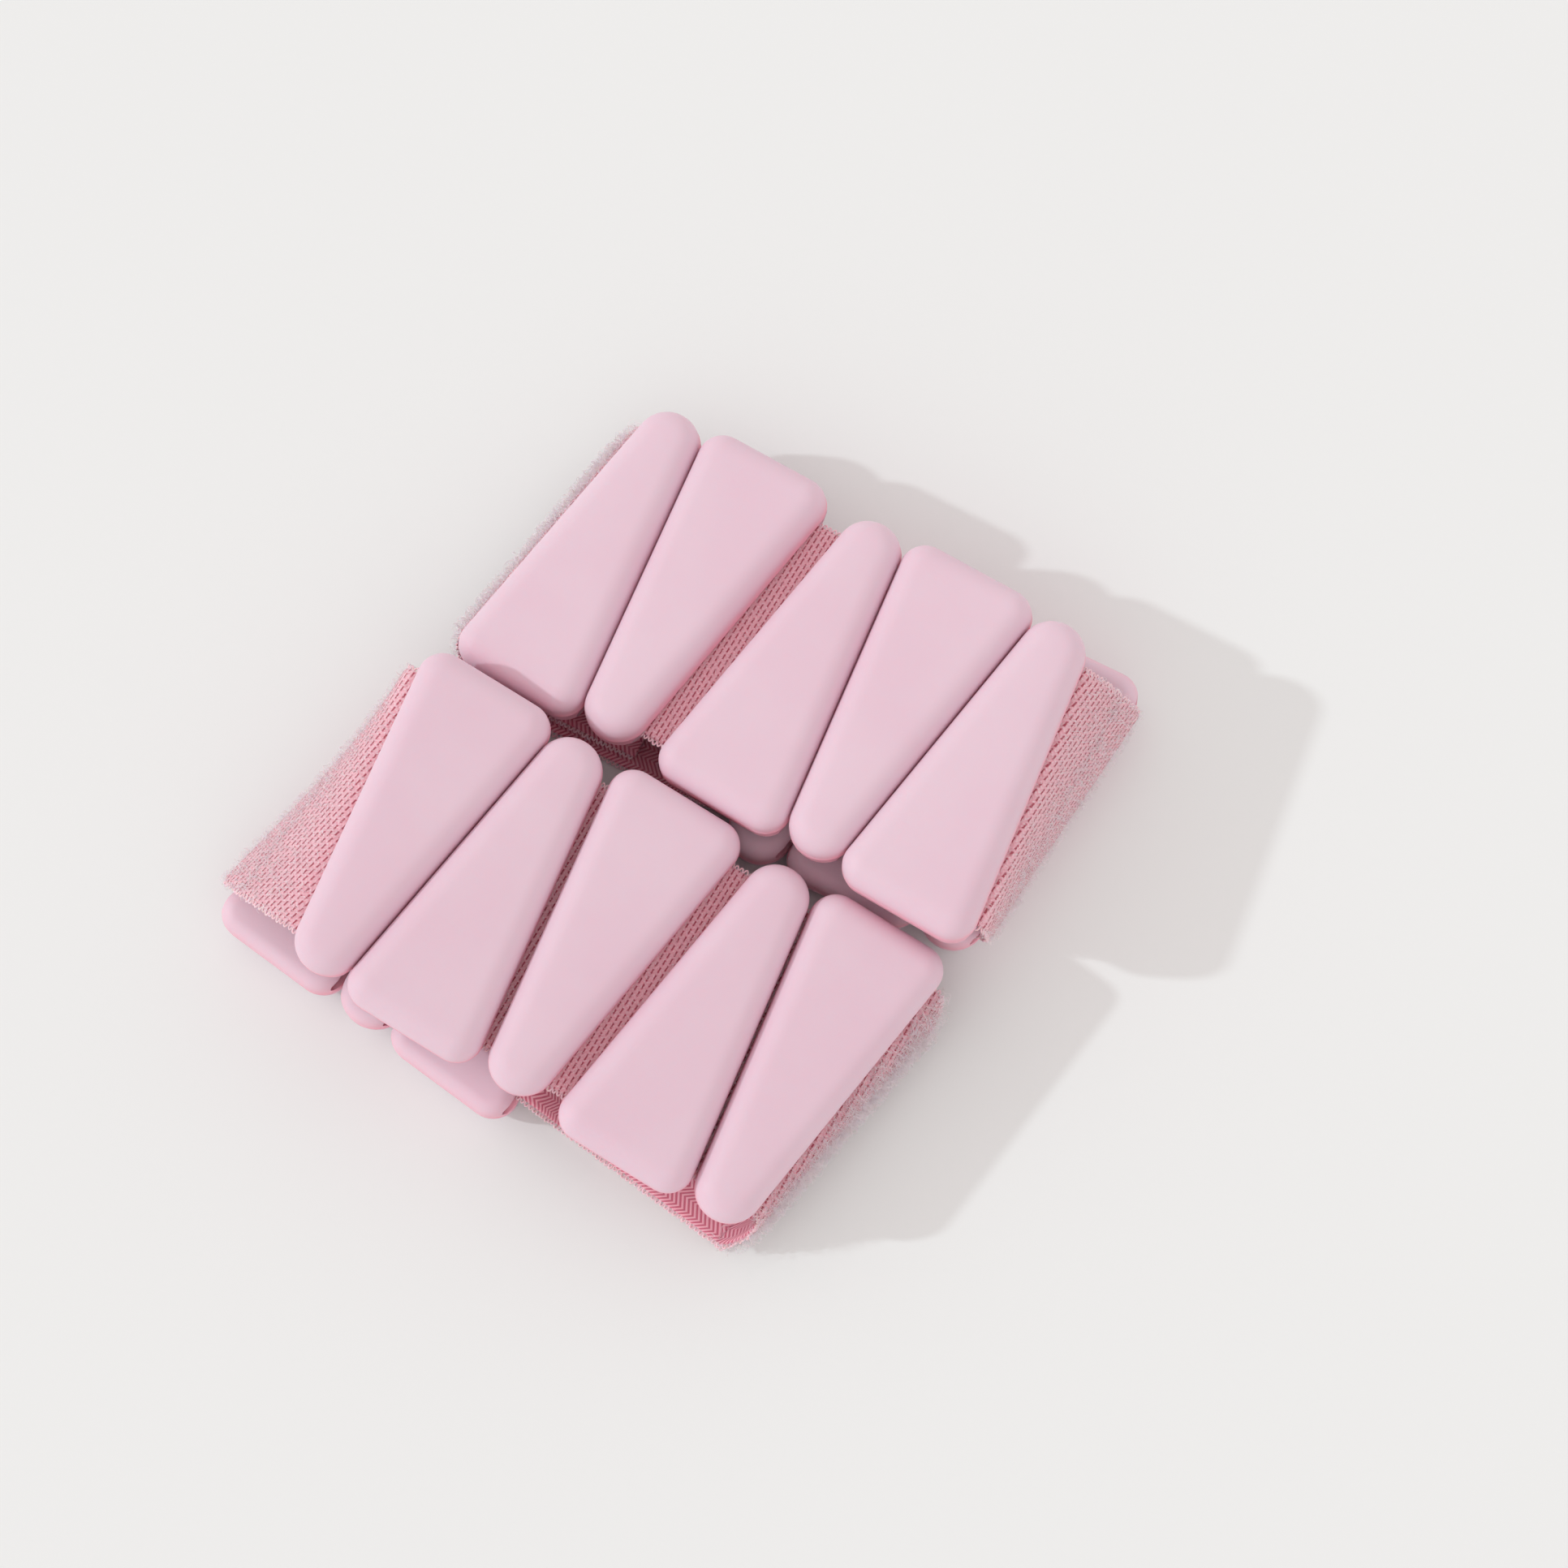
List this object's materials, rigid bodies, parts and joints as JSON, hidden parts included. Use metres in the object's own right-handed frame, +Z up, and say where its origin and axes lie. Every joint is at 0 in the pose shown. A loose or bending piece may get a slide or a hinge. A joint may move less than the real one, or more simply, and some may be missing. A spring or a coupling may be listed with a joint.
{
  "type": "pair of wearable wrist and ankle weight bands",
  "caption": "Pair of soft weight bands: wedge silicone weights with steel cores on an elastic strap, folded over and closed by a hook and loop tail.",
  "frame": {"origin": "on the floor, under the middle of the pair's box", "axes": "+X along the rows of weights, towards band a's bend; +Y across, from band b to band a; +Z up"},
  "size_m": [0.1622, 0.1634, 0.0367],
  "materials": {
    "silicone": "soft matt pink silicone",
    "steel": "plain cut steel plate, hidden",
    "strap": "ribbed pink elastic with loop pile on its outer side",
    "hook": "moulded hook tape"
  },
  "bodies": {
    "a_base": {"a_sleeve_6": "silicone", "a_core_6": "steel", "a_strap_6": "strap"},
    "a_bend": {"a_strap_bend": "strap"},
    "a_link_5": {"a_sleeve_5": "silicone", "a_core_5": "steel", "a_strap_5": "strap"},
    "a_link_4": {"a_sleeve_4": "silicone", "a_core_4": "steel", "a_strap_4": "strap"},
    "a_weight_3": {"a_sleeve_3": "silicone", "a_core_3": "steel"},
    "a_link_3": {"a_strap_3": "strap"},
    "a_weight_2": {"a_sleeve_2": "silicone", "a_core_2": "steel"},
    "a_link_2": {"a_strap_2": "strap"},
    "a_link_1": {"a_sleeve_1": "silicone", "a_core_1": "steel", "a_strap_1": "strap", "a_strap_turn": "strap"},
    "a_tail": {"a_strap_tail": "strap"},
    "a_link_7": {"a_sleeve_7": "silicone", "a_core_7": "steel", "a_strap_7": "strap"},
    "a_link_8": {"a_sleeve_8": "silicone", "a_core_8": "steel", "a_strap_8": "strap", "a_hook_tab": "strap", "a_hook_patch": "hook"},
    "b_base": {"b_sleeve_6": "silicone", "b_core_6": "steel", "b_strap_6": "strap"},
    "b_bend": {"b_strap_bend": "strap"},
    "b_link_5": {"b_sleeve_5": "silicone", "b_core_5": "steel", "b_strap_5": "strap"},
    "b_weight_4": {"b_sleeve_4": "silicone", "b_core_4": "steel"},
    "b_link_4": {"b_strap_4": "strap"},
    "b_weight_3": {"b_sleeve_3": "silicone", "b_core_3": "steel"},
    "b_link_3": {"b_strap_3": "strap"},
    "b_weight_2": {"b_sleeve_2": "silicone", "b_core_2": "steel"},
    "b_link_2": {"b_strap_2": "strap"},
    "b_link_1": {"b_sleeve_1": "silicone", "b_core_1": "steel", "b_strap_1": "strap", "b_strap_turn": "strap"},
    "b_tail": {"b_strap_tail": "strap"},
    "b_link_7": {"b_sleeve_7": "silicone", "b_core_7": "steel", "b_strap_7": "strap"},
    "b_link_8": {"b_sleeve_8": "silicone", "b_core_8": "steel", "b_strap_8": "strap", "b_hook_tab": "strap", "b_hook_patch": "hook"}
  },
  "joints": [
    {"name": "a_fold", "type": "hinge", "parent": "a_base", "child": "a_bend", "pos_m": [0.07723, 0.04341, 0.0103], "axis": [0.0607, 0.9982, 0], "range_deg": [0, 70]},
    {"name": "a_fold_top", "type": "hinge", "parent": "a_bend", "child": "a_link_5", "pos_m": [0.06911, 0.04175, 0.02667], "axis": [-0.14, 0.9901, -0.0122], "range_deg": [0, 70]},
    {"name": "a_flex_4", "type": "hinge", "parent": "a_link_5", "child": "a_link_4", "pos_m": [0.04394, 0.04175, 0.02446], "axis": [0.14, 0.9901, 0.0122], "range_deg": [-28, 0]},
    {"name": "a_flex_3", "type": "hinge", "parent": "a_link_4", "child": "a_link_3", "pos_m": [0.01995, 0.04175, 0.02236], "axis": [-0.14, 0.9901, -0.0122], "range_deg": [-28, 0]},
    {"name": "a_flex_2", "type": "hinge", "parent": "a_link_3", "child": "a_link_2", "pos_m": [-0.00714, 0.04175, 0.01999], "axis": [0.14, 0.9901, 0.0122], "range_deg": [-28, 0]},
    {"name": "a_flex_1", "type": "hinge", "parent": "a_link_2", "child": "a_link_1", "pos_m": [-0.03422, 0.04175, 0.01762], "axis": [-0.14, 0.9901, -0.0122], "range_deg": [-28, 0]},
    {"name": "a_tail_peel", "type": "hinge", "parent": "a_link_1", "child": "a_tail", "pos_m": [-0.05659, 0.03514, 0.0052], "axis": [0.0606, 0.9982, 0], "range_deg": [0, 56]},
    {"name": "a_flex_7", "type": "hinge", "parent": "a_base", "child": "a_link_7", "pos_m": [0.05205, 0.04138, 0.0103], "axis": [-0.2195, 0.9756, 0], "range_deg": [0, 7]},
    {"name": "a_flex_8", "type": "hinge", "parent": "a_link_7", "child": "a_link_8", "pos_m": [0.02804, 0.03945, 0.0103], "axis": [0.0607, 0.9982, 0], "range_deg": [0, 7]},
    {"name": "a_slide_2", "type": "slide", "parent": "a_link_2", "child": "a_weight_2", "axis": [0.9962, 0, 0.0872], "range_m": [0, 0.003]},
    {"name": "a_slide_3", "type": "slide", "parent": "a_link_3", "child": "a_weight_3", "axis": [0.9962, 0, 0.0872], "range_m": [-0.003, 0]},
    {"name": "b_fold", "type": "hinge", "parent": "b_base", "child": "b_bend", "pos_m": [-0.07127, -0.03601, 0.0103], "axis": [-0.2195, -0.9756, 0], "range_deg": [0, 70]},
    {"name": "b_fold_top", "type": "hinge", "parent": "b_bend", "child": "b_link_5", "pos_m": [-0.06111, -0.03695, 0.02667], "axis": [0.14, -0.9901, -0.0122], "range_deg": [0, 70]},
    {"name": "b_flex_4", "type": "hinge", "parent": "b_link_5", "child": "b_link_4", "pos_m": [-0.03594, -0.03695, 0.02446], "axis": [-0.14, -0.9901, 0.0122], "range_deg": [-28, 0]},
    {"name": "b_flex_3", "type": "hinge", "parent": "b_link_4", "child": "b_link_3", "pos_m": [-0.01105, -0.03695, 0.02228], "axis": [0.14, -0.9901, -0.0122], "range_deg": [-28, 0]},
    {"name": "b_flex_2", "type": "hinge", "parent": "b_link_3", "child": "b_link_2", "pos_m": [0.01604, -0.03695, 0.01992], "axis": [-0.14, -0.9901, 0.0122], "range_deg": [-28, 0]},
    {"name": "b_flex_1", "type": "hinge", "parent": "b_link_2", "child": "b_link_1", "pos_m": [0.04252, -0.03695, 0.0176], "axis": [0.14, -0.9901, -0.0122], "range_deg": [-28, 0]},
    {"name": "b_tail_peel", "type": "hinge", "parent": "b_link_1", "child": "b_tail", "pos_m": [0.06519, -0.04699, 0.0052], "axis": [-0.2194, -0.9756, 0], "range_deg": [0, 56]},
    {"name": "b_flex_7", "type": "hinge", "parent": "b_base", "child": "b_link_7", "pos_m": [-0.0466, -0.038, 0.0103], "axis": [0.0607, -0.9982, 0], "range_deg": [0, 7]},
    {"name": "b_flex_8", "type": "hinge", "parent": "b_link_7", "child": "b_link_8", "pos_m": [-0.02191, -0.03998, 0.0103], "axis": [-0.2195, -0.9756, 0], "range_deg": [0, 7]},
    {"name": "b_slide_2", "type": "slide", "parent": "b_link_2", "child": "b_weight_2", "axis": [-0.9962, 0, 0.0872], "range_m": [-0.0003, 0.0021]},
    {"name": "b_slide_3", "type": "slide", "parent": "b_link_3", "child": "b_weight_3", "axis": [-0.9962, 0, 0.0872], "range_m": [-0.0021, 0.0008]},
    {"name": "b_slide_4", "type": "slide", "parent": "b_link_4", "child": "b_weight_4", "axis": [-0.9962, 0, 0.0872], "range_m": [-0.0008, 0]},
    {"name": "b_place", "type": "slide", "parent": "a_base", "child": "b_base", "axis": [0, -1, 0], "range_m": [0, 0.06]}
  ],
  "couplings": [
    {"joint": "a_fold_top", "follows": "a_fold", "ratio": 1},
    {"joint": "a_flex_4", "follows": "a_fold", "ratio": -0.4},
    {"joint": "a_flex_3", "follows": "a_fold", "ratio": -0.4},
    {"joint": "a_flex_2", "follows": "a_fold", "ratio": -0.4},
    {"joint": "a_flex_1", "follows": "a_fold", "ratio": -0.4},
    {"joint": "a_tail_peel", "follows": "a_fold", "ratio": 0.8},
    {"joint": "a_flex_7", "follows": "a_fold", "ratio": 0.1},
    {"joint": "a_flex_8", "follows": "a_fold", "ratio": 0.1},
    {"joint": "b_fold_top", "follows": "b_fold", "ratio": 1},
    {"joint": "b_flex_4", "follows": "b_fold", "ratio": -0.4},
    {"joint": "b_flex_3", "follows": "b_fold", "ratio": -0.4},
    {"joint": "b_flex_2", "follows": "b_fold", "ratio": -0.4},
    {"joint": "b_flex_1", "follows": "b_fold", "ratio": -0.4},
    {"joint": "b_tail_peel", "follows": "b_fold", "ratio": 0.8},
    {"joint": "b_flex_7", "follows": "b_fold", "ratio": 0.1},
    {"joint": "b_flex_8", "follows": "b_fold", "ratio": 0.1}
  ]
}
